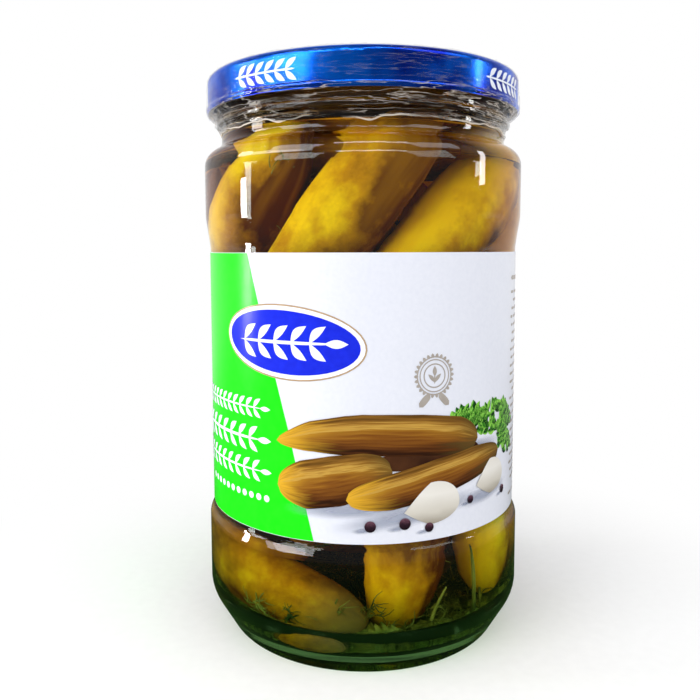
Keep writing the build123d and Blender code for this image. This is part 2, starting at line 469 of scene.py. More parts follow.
back_rows = []
for turn in (112, 150, 188, 226):
    back_rows.append((on_ring(29, turn - 20, 77), on_ring(29, turn, 102), on_ring(28, turn + 24, 127), 9.5))
for turn, foot_height in ((104, 9), (144, 9), (184, 10), (224, 12), (262, 30)):
    back_rows.append(
        (on_ring(27, turn, foot_height), on_ring(29, turn + 3, 38), on_ring(28, turn + 8, 64), 9.3)
    )
back_rows += [
    ((-21, -19, 36), (-17, -24, 58), (-21, -20, 84), 8.8),
    ((-29, 4, 50), (-29, -4, 72), (-28, 4, 94), 8.6),
    ((18, -20, 58), (21, -19, 74), (27, -8, 92), 8.2),
    ((17, -9, 16), (12, -9, 38), (6, -9, 62), 9.0),
    ((-9, -8, 22), (-10, -5, 46), (-8, -5, 74), 9.4),
    ((-2, 12, 11), (1, 11, 38), (0, 10, 66), 9.4),
    ((10, -6, 72), (5, -9, 96), (-3, -8, 124), 9.4),
    ((10, 10, 70), (11, 12, 96), (12, 10, 124), 9.4),
    ((-10, 8, 76), (-11, 9, 98), (-12, 8, 124), 9.4),
    ((-22, 16, 123), (6, 20, 125), (28, 4, 122), 7.6),
    ((-16, -10, 124), (2, -14, 125), (22, -10, 124), 7.0),
]
axes = np.array([row[:3] for row in front_rows + back_rows], float) * MM
halves = np.array([row[3] for row in front_rows + back_rows]) * MM
ripeness = [row[4] for row in front_rows] + [(-0.2, -0.1, 0.3)] * len(back_rows)
firmness = np.where(np.arange(len(axes)) < len(front_rows), 0.06, 1.0)
lengths = 2 * np.linalg.norm(np.diff(axes, axis=1), axis=2).mean(axis=1)
shortest, longest = round(lengths.min() / MM), round(lengths.max() / MM)
print(len(axes), "cucumbers,", shortest, "to", longest, "mm along the axis")

# %% [markdown]
# ## Cucumbers: settling
#
# The balls along one axis share its three points, so a push on a ball near one end turns the whole
# cucumber. After each round of pushes the axis gets its own length back, and may only bend a little.

# %% Settling


def on_axis(t):
    """The shares of an axis' three points in points along its curve, t being 0 to 1."""
    return np.stack([(1 - t) * (1 - 2 * t), 4 * t * (1 - t), t * (2 * t - 1)], axis=1)


balls = 9
along = np.linspace(0, 1, balls)
share_of_points = on_axis(along)
plumpness = np.sqrt(1 - np.abs(2 * along - 1) ** 3.2 * 0.96)
most_bend = 7.5 * MM
touch = 0.25 * MM
may_stand_out = 6 * MM
heel_top = 16 * MM
floor_level = float(wall[:, 1].min()) + 1.0 * MM
heel = wall[wall[:, 1] < heel_top]


def floor_reach(height, thick):
    """How far out a ball may lie where the wall turns in to the floor."""
    lowest = np.maximum(height - thick * 0.7, heel[0, 1])
    return np.interp(lowest, heel[:, 1], heel[:, 0]) - thick * 0.55


def settle(axes, rounds=420):
    """Pushes the cucumbers apart and into the glass; gives the axes and the deepest bite left."""
    axes = axes.copy()
    owner = np.repeat(np.arange(len(axes)), balls)
    thick = (halves[:, None] * plumpness).ravel()
    others = owner[:, None] != owner[None, :]
    weight = (share_of_points**2).sum(axis=0)[None, :, None]
    for _ in range(rounds):
        places = np.einsum("bp,npx->nbx", share_of_points, axes).reshape(-1, 3)
        apart = places[:, None] - places[None, :]
        gap = np.linalg.norm(apart, axis=2) + 1e-9
        bite = thick[:, None] + thick[None, :] - touch - gap
        bite = np.where(others & (bite > 0), bite, 0)
        push = (apart / gap[..., None] * bite[..., None] * 0.35).sum(axis=1)
        flat = np.hypot(places[:, 0], places[:, 1]) + 1e-9
        reach = inner_radius(places[:, 2]) - thick - 0.2 * MM
        low_reach = floor_reach(places[:, 2], thick)
        over = np.maximum(flat - np.minimum(reach, low_reach), 0)
        push[:, :2] -= places[:, :2] / flat[:, None] * over[:, None]
        push[:, 2] += np.maximum(floor_level + thick * 0.9 - places[:, 2], 0)
        push[:, 2] -= np.maximum(places[:, 2] + thick * 0.75 - brine_level - may_stand_out, 0)
        push = push.reshape(len(axes), balls, 3) * firmness[:, None, None]
        axes += np.einsum("bp,nbx->npx", share_of_points, push) / weight
        for n, axis in enumerate(axes):
            middle = (axis[0] + axis[2]) / 2
            bend = axis[1] - middle
            size = np.linalg.norm(bend)
            if size > most_bend:
                axis[1] = middle + bend / size * most_bend
            for end in (0, 2):
                arm = axis[end] - axis[1]
                axis[end] = axis[1] + unit(arm) * lengths[n] / 2
    return axes, float(bite.max())


axes, deepest = settle(axes)
print("deepest bite left between two cucumbers:", round(deepest / MM, 2), "mm")

# %% [markdown]
# ## Cucumbers: shape
#
# A pickled cucumber is blunt at its blossom end and narrower at the stem, with three soft lobes,
# shallow furrows along it and low warts in between. Its skin is one grid of rings along the bent axis.
# The warts are pushed out of that grid, so that they also show on its outline.

# %% Skin of one cucumber
ring_rows, ring_columns = 84, 46
wart_count = 46
wart_spread = 1.1 * MM
lowest_wart, highest_wart = 0.12, 0.42  # mm above the skin


def cucumber(axis, half, seed, ripe):
    """One cucumber's points and faces, and for each point what its skin reads."""
    chance = np.random.default_rng(seed)
    t = (1 - np.cos(np.linspace(0, pi, ring_rows))) / 2
    t = 0.5 * t + 0.5 * np.linspace(0, 1, ring_rows)
    line = on_axis(t) @ axis
    blunt, narrow = 3.4, 2.3
    far = np.abs(2 * t - 1)
    plump = np.where(t < 0.5, 1 - far**blunt, 1 - far**narrow)
    plump = np.sqrt(np.clip(plump, 0, 1)) * (1 - 0.06 * t)
    turn = np.linspace(0, 2 * pi, ring_columns, endpoint=False)
    lobes = 1 + 0.028 * np.cos(3 * turn + chance.uniform(0, 6)) + 0.010 * np.cos(9 * turn)
    radius = half * plump[:, None] * lobes[None, :]
    length = np.linalg.norm(axis[2] - axis[0])
    for _ in range(wart_count):
        at, round_at = chance.uniform(0.06, 0.9), chance.uniform(0, 2 * pi)
        across = np.angle(np.exp(1j * (turn - round_at)))[None, :] * half
        off = across**2 + ((t - at)[:, None] * length) ** 2
        rise = chance.uniform(lowest_wart, highest_wart) * MM
        radius += rise * np.exp(-off / (2 * wart_spread**2)) * plump[:, None]
    radius = np.maximum(radius, 0.02 * MM)
    across_axis = np.eye(3)[np.argmin(np.abs(axis[2] - axis[0]))]
    rings = line[:, None, :] + radius[..., None] * round_about(line, across_axis, turn)
    points, faces = capped_skin(rings)
    round_mm = np.stack([np.cos(turn) * half, np.sin(turn) * half], axis=1)
    local = np.zeros((len(points), 3))
    local[:-2, :2] = np.tile(round_mm, (ring_rows, 1))
    local[:-2, 2] = np.repeat(t * length, ring_columns)
    local[-1, 2] = length
    local += seed * 0.37
    tip = np.zeros(len(points))
    tip[:-2] = np.repeat(ripe[2] * np.clip(1.25 - t / 0.2, 0, 1), ring_columns)
    tip[-2] = ripe[2]
    # Painted light and shade: the side that faces up and to the left, seen from outside the jar, gets high
    # values and is coloured paler gold, and the other side browner.
    middle = axis[1]
    around_jar = atan2(middle[0], -middle[1])
    around_jar -= 0.65 * sin(around_jar)
    left = np.array([-cos(around_jar), -sin(around_jar), 0])
    outward = np.array([sin(around_jar), -cos(around_jar), 0])
    sunny = 0.74 * left + 0.06 * outward + np.array([0, 0, 0.60])
    out = unit(points[:-2].reshape(ring_rows, ring_columns, 3) - line[:, None, :], 1e-9)
    belly = np.zeros(len(points))
    belly[:-2] = (out @ sunny + np.interp(t, (0, 1), ripe[:2])[:, None]).ravel()
    return points, faces, local, tip, belly


print("a cucumber is", ring_rows, "rings of", ring_columns, "points, with", wart_count, "warts")

# %% [markdown]
# ## Cucumbers: pickled skin
#
# Souring turns green skin to olive gold, in cloudy patches, with paler streaks along the furrows and a
# browner stem end. The side of each cucumber that faces up and to the left is painted paler gold and
# the other side browner: painted light and shade. The flesh below scatters light, so the skin glows a
# little rather than looking painted. In brine it has hardly any shine, because the liquid bends light
# almost as much as it does.

# %% Skin of a soured cucumber


def soured_cucumber_skin():
    """Olive gold skin in cloudy patches, streaked along, browner at the stem, and painted paler on its lit
    side.
    """
    made, tree = new_material("cucumber_skin_soured")
    local = add(tree, "Attribute", attribute_name="local").outputs["Vector"]
    tip = add(tree, "Attribute", attribute_name="tip").outputs["Fac"]
    # Cloudy patches are about 12 mm across, and the streaks 2 mm wide and 20 mm long.
    patch = add(tree, "TexNoise", {"Vector": local, "Scale": per_mm(24), "Detail": 3.0, "Roughness": 0.55})
    # Painted light and shade: the painted lit side, with each cucumber's ripeness and painted shade
    # offsets, moves the colour between brown and gold.
    belly = add(tree, "Attribute", attribute_name="belly").outputs["Fac"]
    ripe = add(tree, "MapRange", (belly, -0.85, 0.95, -0.30, 0.30))
    # Smaller blotches, 4 mm across, come from where the skin was bruised or rubbed.
    blotch = add(tree, "TexNoise", {"Vector": local, "Scale": per_mm(7), "Detail": 5.0, "Roughness": 0.65})
    blotches = add(tree, "MapRange", (blotch, 0.3, 0.7, -0.12, 0.12))
    ripened = add(tree, "Math", (patch, ripe), operation="ADD")
    patch = add(tree, "Math", (ripened, blotches), operation="ADD")
    drawn_out = add(tree, "Mapping", {"Vector": local, "Scale": (1.0, 1.0, 0.12)})
    streak = add(tree, "TexNoise", {"Vector": drawn_out, "Scale": per_mm(4.5), "Detail": 2.0})
    gold = [(0.28, "#582804"), (0.48, "#C08A08"), (0.70, "#FFDA12")]
    skin = add(tree, "ValToRGB", {"Fac": patch}, stops=gold)
    lines = add(tree, "MapRange", (streak, 0.42, 0.68, 0.0, 0.24))
    streaked = add(tree, "Mix", (lines, skin, "#E0A020"), data_type="RGBA")
    stem_end = add(tree, "Math", (tip, 0.8), operation="MULTIPLY")
    whole = add(tree, "Mix", (stem_end, streaked, "#74744C"), data_type="RGBA")
    # Pores are finer than the render can hold, so they are drawn 0.8 mm wide.
    pores = add(tree, "TexNoise", {"Vector": local, "Scale": per_mm(1.6), "Detail": 2.0})
    relief = add(tree, "Bump", {"Height": pores, "Strength": 0.35, "Distance": 0.25 * MM})
    skin_shader = add(
        tree,
        "BsdfPrincipled",
        {
            "Base Color": whole,
            "Roughness": 0.5,
            "IOR": 1.40,
            "Specular IOR Level": 0.03,
            "Subsurface Weight": 0.12,
            "Subsurface Radius": (3.0 * MM, 2.0 * MM, 0.6 * MM),
            "Subsurface Scale": 1.0,
            "Normal": relief,
        },
    )
    add(tree, "OutputMaterial", {"Surface": skin_shader})
    return made


cucumber_skin = soured_cucumber_skin()
print(cucumber_skin.name, "has", len(cucumber_skin.node_tree.nodes), "nodes")

# %% Cucumbers as two meshes
upper_layer = [n for n in range(len(axes)) if axes[n, 1, 2] > 0.069]
lower_layer = [n for n in range(len(axes)) if n not in upper_layer]
for name, layer in (("cucumbers_upper_layer", upper_layer), ("cucumbers_lower_layer", lower_layer)):
    grown = [cucumber(axes[n], halves[n], n + 1, ripeness[n]) for n in layer]
    points, faces = put_together([(one[0], one[1]) for one in grown])
    piece = new_piece(name, points, faces, cucumber_skin)
    store(piece, "local", np.vstack([one[2] for one in grown]))
    store(piece, "tip", np.concatenate([one[3] for one in grown]))
    store(piece, "belly", np.concatenate([one[4] for one in grown]))

# %% [markdown]
# ## Dill
#
# A stalk of dill is a round stem that forks and forks again into soft threads. Curves with a bevel
# would also make it. Here every thread is a thin three-sided skin, so a whole handful stays small, and
# limp threads can curl as they do once they have been in brine. It fills the gaps and the floor.

# %% Threads and stems
# Real threads are about 0.2 mm thick; these are drawn a little thicker so that they show.
finest_thread = 0.34 * MM


def thread(line, thickness, sides=3):
    """A thin closed tube along a row of points, tapering to its end. All in metres."""
    turn = np.linspace(0, 2 * pi, sides, endpoint=False)
    taper = thickness / 2 * (1 - 0.55 * np.linspace(0, 1, len(line)) ** 2)
    around = round_about(line, (0.31, 0.52, 0.79), turn, 1e-12)
    return capped_skin(line[:, None, :] + around * taper[:, None, None])


def kept_inside(line):
    """Moves points that would be in the glass back into the brine."""
    line = line.copy()
    line[:, 2] = np.clip(line[:, 2], floor_level - 0.4 * MM, brine_level - 1.5 * MM)
    reach = np.minimum(inner_radius(line[:, 2]), np.interp(line[:, 2], heel[:, 1], heel[:, 0])) - 1.0 * MM
    flat = np.hypot(line[:, 0], line[:, 1]) + 1e-9
    line[:, :2] *= np.minimum(1, reach / flat)[:, None]
    return line


def wander(start, heading, length, curl, chance, steps=7):
    """Points along a limp thread that starts in one direction and curls."""
    points = [np.array(start)]
    heading = unit(np.array(heading))
    bend = chance.normal(size=3) * curl
    for _ in range(steps):
        points.append(points[-1] + heading * length / steps)
        heading = unit(heading + bend / steps + chance.normal(size=3) * curl * 0.12)
    return np.array(points)


def dill_frond(start, heading, length, chance, forks=7):
    """A stem with threads on both sides, each with a few finer ones."""
    stem = kept_inside(wander(start, heading, length, 0.5, chance, 10))
    parts = [thread(stem, 0.8 * MM, 5)]
    for k in range(forks):
        at = stem[2 + (k * 8) // forks]
        ahead = stem[min(10, 3 + (k * 8) // forks)] - at + 1e-6
        out = unit(ahead) * 0.7 + chance.normal(size=3) * 0.8
        twig = kept_inside(wander(at, out, length * chance.uniform(0.2, 0.4), 0.9, chance, 5))
        parts.append(thread(twig, 0.5 * MM))
        for j in range(4):
            tip_heading = out + chance.normal(size=3) * 1.0
            reach = chance.uniform(2.5, 5.5) * MM
            fine = kept_inside(wander(twig[2 + j % 4], tip_heading, reach, 1.6, chance, 3))
            parts.append(thread(fine, finest_thread))
    return parts


print("a thread of dill is drawn", round(finest_thread / MM, 2), "mm thick")

# %% [markdown]
# ## Dill: placing it
#
# A few stalks stand between the cucumbers and the glass. Most of the herb has sunk, so a loose bed of
# fronds lies on the floor and in the turned-in heel, with more of it in the middle of the jar.

# %% Dill in the jar
chance = np.random.default_rng(11)
# How many fronds lie on the floor, along its front edge, and between the cucumbers.
bed_fronds, front_fronds, high_fronds = 120, 26, 30
fronds = []
stalks = [
    ((26.3, -27.0, 9), (25.5, -27.8, 28), 1.3),
    ((15.9, -33.0, 12.5), (19.4, -31.5, 20.5), 1.0),
    ((-20, 20, 8), (-33, 14, 60), 1.3),
    ((10, 33, 8), (25, 26, 66), 1.3),
]
for low_end, high_end, width in stalks:
    ends = np.array([low_end, high_end]) * MM
    share = np.linspace(0, 1, 9)[:, None]
    line = ends[0] * (1 - share) + ends[1] * share
    line += chance.normal(size=3) * 1.5 * MM * np.sin(pi * share)
    fronds.append(thread(kept_inside(line), width * MM, 7))
for k in range(bed_fronds):
    turn = chance.uniform(0, 360)
    ring = 36 * sqrt(chance.uniform(0.1, 1.0))
    start = np.array(on_ring(ring, turn, chance.uniform(6.0, 11.0))) * MM
    fronds += dill_frond(start, chance.normal(size=3) * (1, 1, 0.2), chance.uniform(9, 17) * MM, chance)
for k in range(front_fronds):
    ring, turn = chance.uniform(32, 36), chance.uniform(-70, 80)
    start = np.array(on_ring(ring, turn, chance.uniform(6.5, 9.5))) * MM
    heading = chance.normal(size=3) * (1, 0.5, 0.5)
    fronds += dill_frond(start, heading, chance.uniform(8, 14) * MM, chance, 6)
for k in range(high_fronds):
    turn = chance.uniform(0, 360)
    start = np.array(on_ring(chance.uniform(14, 26), turn, chance.uniform(18, 126))) * MM
    heading = chance.normal(size=3) * (0.6, 0.6, 1)
    fronds += dill_frond(start, heading, chance.uniform(12, 22) * MM, chance, 7)
points, faces = put_together(fronds)


def soured_dill():
    """Soft herb that has gone from green to straw."""
    made, tree = new_material("dill_soured_in_brine")
    place = add(tree, "TexCoord").outputs["Object"]
    # A stalk changes from green to straw over about 5 mm.
    fading = add(tree, "TexNoise", {"Vector": place, "Scale": per_mm(9), "Detail": 2.0})
    colours = add(tree, "ValToRGB", {"Fac": fading}, stops=[(0.35, "#334A14"), (0.68, "#A3AC52")])
    leaf = add(
        tree,
        "BsdfPrincipled",
        {
            "Base Color": colours,
            "Roughness": 0.55,
            "IOR": 1.4,
            "Specular IOR Level": 0.2,
            "Subsurface Weight": 0.1,
            "Subsurface Radius": (0.6 * MM, 0.8 * MM, 0.3 * MM),
            "Subsurface Scale": 1.0,
        },
    )
    add(tree, "OutputMaterial", {"Surface": leaf})
    return made


new_piece("dill_fronds", points, faces, soured_dill())

# %% [markdown]
# ## Leaves of the herb bunch
#
# A few broad leaves with frilled edges lie low at the front. Each is a flat skin whose outline is cut
# into lobes and whose surface waves, because a leaf that has softened never lies flat.

# %% Frilled leaves


def frilled_leaf(start, heading, across, length, width, chance):
    """A leaf from start along heading, lobed at its edges and waved across."""
    rows, columns = 26, 14
    t = np.linspace(0, 1, rows)
    heading = unit(np.array(heading))
    across = unit(np.array(across) - np.dot(across, heading) * heading)
    upward = np.cross(heading, across)
    turn = np.linspace(0, 2 * pi, columns, endpoint=False)
    lobed = np.sin(pi * t**0.8) ** 0.7 * (1 + 0.35 * np.sin(2 * pi * t * 5 + chance.uniform(0, 6)))
    spread = np.outer(lobed * width / 2, np.cos(turn))
    frill = np.sin(t[:, None] * 27 + chance.uniform(0, 6)) * 0.9 * MM * np.cos(turn)[None, :] ** 2
    lift = frill + np.outer(np.ones(rows), np.sin(turn)) * 0.11 * MM
    arch = np.sin(pi * t) * length * 0.12
    rings = (
        np.array(start) + t[:, None, None] * length * heading + spread[..., None] * across
        + (lift + arch[:, None])[..., None] * upward
    )
    rings = kept_inside(rings.reshape(-1, 3)).reshape(rings.shape)
    return capped_skin(rings)


leaves = []
leaf_places = [
    ((-4, -33.5, 8.3), (1, 0.2, -0.1), 11, 5.5),
    ((1, -34.5, 7.2), (0.8, -0.2, 0.5), 9, 5),
    ((-29.5, -20, 8.5), (0.6, -0.8, -0.1), 12, 4),
    ((-12, -32, 7.0), (1, 0.1, 0.1), 12, 5),
    ((22, -28.5, 7.8), (0.9, 0.5, 0.1), 11, 5),
    ((11, -32, 6.8), (1, 0.1, 0.0), 10, 4),
]
for turn in range(20, 360, 24):
    leaf_places.append((on_ring(31, turn, 7.5), (cos(radians(turn)), sin(radians(turn)), 0.1), 12, 5))
for start, heading, length, width in leaf_places:
    outward = np.array([start[0], start[1], 0]) / hypot(start[0], start[1])
    tilt = np.array([0, 0, 1]) * 0.8 - outward * 0.7 + chance.normal(size=3) * 0.25
    leaves.append(frilled_leaf(np.array(start) * MM, heading, tilt, length * MM, width * MM, chance))


def soured_leaf():
    """A softened leaf, blotched and veined."""
    made, tree = new_material("herb_leaf_soured_in_brine")
    place = add(tree, "TexCoord").outputs["Object"]
    # Veins and blotches are about 2 mm wide.
    blotch = add(tree, "TexNoise", {"Vector": place, "Scale": per_mm(3.5), "Detail": 3.0})
    colours = add(tree, "ValToRGB", {"Fac": blotch}, stops=[(0.3, "#5C7428"), (0.7, "#B4C46A")])
    veins = add(tree, "Bump", {"Height": blotch, "Strength": 0.5, "Distance": 0.2 * MM})
    leaf = add(
        tree,
        "BsdfPrincipled",
        {"Base Color": colours, "Roughness": 0.5, "IOR": 1.4, "Specular IOR Level": 0.2, "Normal": veins},
    )
    add(tree, "OutputMaterial", {"Surface": leaf})
    return made


points, faces = put_together(leaves)
new_piece("herb_leaves", points, faces, soured_leaf())

# %% [markdown]
# ## Lid
#
# The lid is tinplate, pressed and then coated: blue gloss enamel outside, and a gold food lacquer
# inside. Both are printed on the flat sheet before it is pressed. One material serves the whole lid,
# and tells its two sides apart by whether the surface faces away from the jar's axis or up.

# %% Enamelled tinplate


def enamelled_tinplate():
    """Blue enamel with painted reflections on the outer side and gold lacquer on the inner one."""
    made, tree = new_material("tinplate_enamelled_gloss")
    place = add(tree, "TexCoord").outputs["Object"]
    outward, up = which_side(tree, place)
    away = add(tree, "Math", (outward, up), operation="ADD")
    outer = add(tree, "Math", (away, -0.2), operation="GREATER_THAN")
    # Enamel flows into a soft orange peel about 1.5 mm wide, and the skirt has flats about 5 mm wide.
    peel = add(tree, "TexNoise", {"Vector": place, "Scale": per_mm(3), "Detail": 1.0})
    dents = add(tree, "TexNoise", {"Vector": place, "Scale": per_mm(11), "Detail": 1.0})
    peeled = add(tree, "Bump", {"Height": peel, "Strength": 0.12, "Distance": 0.1 * MM})
    dented = add(tree, "Bump", {"Height": dents, "Strength": 0.7, "Distance": 0.9 * MM, "Normal": peeled})
    # Painted reflection: the patches are shifted so that a bright one lies at the lid's left.
    moved = add(tree, "Mapping", {"Vector": place, "Location": (0.021, 0.0, 0.013)})
    cloud = add(tree, "TexNoise", {"Vector": moved, "Scale": per_mm(22), "Detail": 2.0, "Distortion": 0.8})
    # Painted reflection: light and dark blue patches about 11 mm wide, evener on the flat top than on the
    # skirt.
    even = add(tree, "Math", (up, 0.75), operation="MULTIPLY")
    cloud = add(tree, "Mix", (even, cloud, 0.5), data_type="FLOAT")
    depth = add(tree, "ValToRGB", {"Fac": cloud}, stops=[(0.42, "#0022AC"), (0.60, "#0074FF")])
    enamel = add(
        tree,
        "BsdfPrincipled",
        {"Base Color": depth, "Metallic": 0.85, "Roughness": 0.22, "Coat Weight": 0.08,
         "Coat Roughness": 0.05, "Normal": dented},
    )
    lacquer = add(
        tree,
        "BsdfPrincipled",
        {"Base Color": "#4A2C10", "Metallic": 0.6, "Roughness": 0.35, "Coat Weight": 0.5,
         "Coat Roughness": 0.1, "Normal": dented},
    )
    add(tree, "OutputMaterial", {"Surface": add(tree, "MixShader", (outer, lacquer, enamel))})
    return made


finish_node("lid", enamelled_tinplate())

# %% [markdown]
# ## Printing on a round wall
#
# Print is ink on a surface, so each printed shape here is a thin sheet laid just above the wall that
# carries it. Shapes are drawn flat, as millimetres round the jar and up it, and one function bends
# them round. An image wrapped on the label would also do, but a drawn shape stays sharp at any size.

# %% Printed shapes


def drawn(place, rows=2, columns=2):
    """A grid of printed ink: place(s, t) gives (mm round the jar, mm up), for s and t from 0 to 1."""
    s, t = np.meshgrid(np.linspace(0, 1, rows), np.linspace(0, 1, columns), indexing="ij")
    round_mm, up_mm = place(s, t)
    flat = np.stack([round_mm * np.ones_like(s), up_mm * np.ones_like(s)], axis=2).reshape(-1, 2)
    faces = []
    for i in range(rows - 1):
        for j in range(columns - 1):
            first = i * columns + j
            faces.append((first, first + columns, first + columns + 1, first + 1))
    quads = flat[np.array(faces)]
    ahead = np.roll(quads, -1, axis=1)
    area = (quads[..., 0] * ahead[..., 1] - quads[..., 1] * ahead[..., 0]).sum(axis=1)
    if area.sum() < 0:
        faces = [face[::-1] for face in faces]
    return flat, faces, np.stack([s.ravel(), t.ravel()], axis=1)


def level_with(shape):
    """The same shape, with its drawn coordinates running to the right and up instead of along it."""
    flat, faces, _ = shape
    low, high = flat.min(axis=0), flat.max(axis=0)
    return flat, faces, (flat - low) / (high - low)


def bar(left, right, low, high):
    """A flat bar with rounded ends."""
    half = (high - low) / 2
    turn = max(2, int((right - left) / 1.2) + 8)

    def place(s, t):
        across = left + (right - left) * s
        from_end = np.minimum(across - left, right - across)
        share = np.clip(from_end / min(half, (right - left) / 2), 0, 1)
        tall = half * np.sqrt(np.clip(1 - (1 - share) ** 2, 0, 1))
        return across, (low + high) / 2 + tall * (2 * t - 1)

    return drawn(place, turn, 3)


def disc(centre, wide, tall, tilt=0.0, inner=0.0, columns=48, rows=None):
    """An oval, or a ring where inner is the share of it that is left open."""
    rows = rows or max(4, int(wide / 1.2) + 2)

    def place(s, t):
        turn = t * 2 * pi
        share = inner + (1 - inner) * s
        x, y = wide * share * np.cos(turn), tall * share * np.sin(turn)
        return centre[0] + x * cos(tilt) - y * sin(tilt), centre[1] + x * sin(tilt) + y * cos(tilt)

    return drawn(place, rows, columns)


def lens(start, end, width, bulge=0.0, rows=14, columns=5, blunt=1.0):
    """A leaf shape from start to end, bowed sideways by bulge."""
    start, end = np.array(start, float), np.array(end, float)
    ahead = end - start
    side = unit(np.array([-ahead[1], ahead[0]]))

    def place(s, t):
        half = width / 2 * np.sin(pi * s) ** blunt
        off = bulge * np.sin(pi * s) + half * (2 * t - 1)
        return start[0] + ahead[0] * s + side[0] * off, start[1] + ahead[1] * s + side[1] * off

    return drawn(place, rows, columns)


def print_on(name, shapes, radius, ink, layer=0):
    """Bends printed shapes round the jar and makes them one piece."""
    lift = (0.03 + 0.02 * layer) * MM
    bent = []
    for flat, faces, _ in shapes:
        turn = flat[:, 0] * MM / radius
        out = radius + lift
        bent.append((np.stack([out * np.sin(turn), -out * np.cos(turn), flat[:, 1] * MM], axis=1), faces))
    points, faces = put_together(bent)
    piece = new_piece(name, points, faces, ink)
    drawn_at = [np.column_stack([local, np.full(len(local), k)]) for k, (_, _, local) in enumerate(shapes)]
    store(piece, "drawn", np.vstack(drawn_at))
    return piece


def printing_ink(name, colour, darker, roughness=0.24, mottle_mm=1.0):
    """Offset ink on coated stock: nearly even, with a faint mottle so wide where it soaked in."""
    made, tree = new_material(name)
    place = add(tree, "TexCoord").outputs["Object"]
    mottle = add(tree, "TexNoise", {"Vector": place, "Scale": per_mm(2 * mottle_mm), "Detail": 3.0})
    even = add(tree, "MapRange", (mottle, 0.3, 0.7, 0.0, 1.0))
    ink = add(tree, "Mix", (even, colour, darker), data_type="RGBA")
    look = {"Base Color": ink, "Roughness": roughness, "Specular IOR Level": 0.25}
    add(tree, "OutputMaterial", {"Surface": add(tree, "BsdfPrincipled", look)})
    return made


print("a dot is printed as", len(disc((0, 0), 1, 1)[1]), "small faces")

# %% White sprigs on the lid
skirt_radius = 42.15 * MM
white_enamel = printing_ink("enamel_print_white", "#F2F6FF", "#E3EAF8", 0.2)
sprigs = []
for quarter in range(4):
    left = -34.0 + quarter * pi / 2 * skirt_radius / MM
    sprigs.append(bar(left, left + 18.5, 143.3, 143.75))
    for k in range(6):
        root = left + 1.5 + 2.9 * k
        for way in (1, -1):
            ends = (root, 143.5 + 0.1 * way), (root + 2.9, 143.5 + 2.5 * way)
            sprigs.append(lens(*ends, 1.35, 0.25 * way, 9, 3))
print_on("lid_sprigs", sprigs, skirt_radius, white_enamel)

# %% [markdown]
# ## Shrink band
#
# A clear plastic sleeve, shrunk over the lid and the neck with hot air, seals the jar. It pulls tight
# over corners and stays slack below the lid, where it gathers into fine level wrinkles, and its lower
# edge waves. Bump alone would leave its outline smooth, so the wrinkles are in the mesh. The film adds
# little but gloss and white creases, the creases partly painted highlight, so it is a clear surface
# with those two mixed in.

# %% Film over the lid and neck
film_thickness = 0.06 * MM
film_columns = 340
film_rows = 78


def film_outline():
    """(radius, height) points along the CAD film's outer skin, from its fold on the lid downward."""
    corners = np.array([v.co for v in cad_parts["shrink_band"].data.vertices])
    radius, height = np.hypot(corners[:, 0], corners[:, 1]), corners[:, 2]
    inside = np.array([30.0, 141.0]) * MM
    angle = np.arctan2(height - inside[1], radius - inside[0])
    away = np.hypot(radius - inside[0], height - inside[1])
    turns = np.linspace(angle.max(), angle.min(), film_rows)
    reach = []
    for turn in turns:
        near = np.argsort(np.abs(angle - turn))[:12]
        near = near[np.abs(angle[near] - angle[near[0]]) < radians(0.6)]
        reach.append((angle[near[0]], away[near].max()))
    reach = np.array(sorted(set(reach), reverse=True))
    outline = inside + reach[:, 1:] * np.stack([np.cos(reach[:, 0]), np.sin(reach[:, 0])], axis=1)
    run = np.concatenate([[0], np.cumsum(np.linalg.norm(np.diff(outline, axis=0), axis=1))])
    even = np.linspace(0, run[-1], film_rows)
    return np.stack([np.interp(even, run, outline[:, 0]), np.interp(even, run, outline[:, 1])], axis=1)


def film_mesh():
    """The film as an outer and an inner skin, and how far down it each point lies."""
    outline = film_outline()
    outward = -out_of_profile(outline)
    turn = np.linspace(0, 2 * pi, film_columns, endpoint=False)
    slack = np.clip((lid_low.z + 0.5 * MM - outline[:, 1]) / (3 * MM), 0, 1)
    rings = np.zeros((film_rows, film_columns, 3))
    for i, (radius, height) in enumerate(outline):
        for j, angle in enumerate(turn):
            about = Vector((cos(angle), sin(angle), 0)) * (radius / MM)
            # Level gathers: 14 mm long and about 1.2 mm apart where slack, and faint creases on the lid.
            gather = noise.noise(Vector((about.x / 7, about.y / 7, height / MM / 0.62)))
            crease = noise.noise(Vector((about.x / 2.6, about.y / 2.6, height / MM / 2.0 + 40)))
            fold = abs(noise.noise(Vector((about.x / 4.0, about.y / 4.0, height / MM / 4.0 + 90))))
            push = slack[i] * (0.22 + 0.42 * gather + 0.16 * crease)
            push += (1 - slack[i]) * max(0, 0.14 - fold) * 1.6
            push = max(push, 0.0)
            edge = noise.noise(Vector((about.x / 11, about.y / 11, 7))) + 0.4 * noise.noise(about / 3.5)
            low = max(0, outline[0, 1] - height) / (outline[0, 1] - outline[-1, 1])
            up = low**6 * (1.5 + 1.6 * edge)
            seam = 0.10 * np.exp(-(((angle + pi / 2 - radians(19)) * radius / MM / 0.5) ** 2))
            r = radius + (push + seam) * MM * outward[i, 0]
            z = height + ((push + seam) * outward[i, 1] + max(up, 0)) * MM
            rings[i, j] = (r * cos(angle), r * sin(angle), z)
    flat = rings.copy()
    flat[:, :, 0] -= film_thickness * outward[:, 0][:, None] * np.cos(turn)[None, :]
    flat[:, :, 1] -= film_thickness * outward[:, 0][:, None] * np.sin(turn)[None, :]
    flat[:, :, 2] -= film_thickness * outward[:, 1][:, None]
    both = np.concatenate([rings, flat[::-1]], axis=0)
    down = np.linspace(0, 1, film_rows)
    down = np.repeat(np.concatenate([down, down[::-1]]), film_columns)
    return both.reshape(-1, 3), skin_faces(len(both), film_columns, loop_rows=True), down


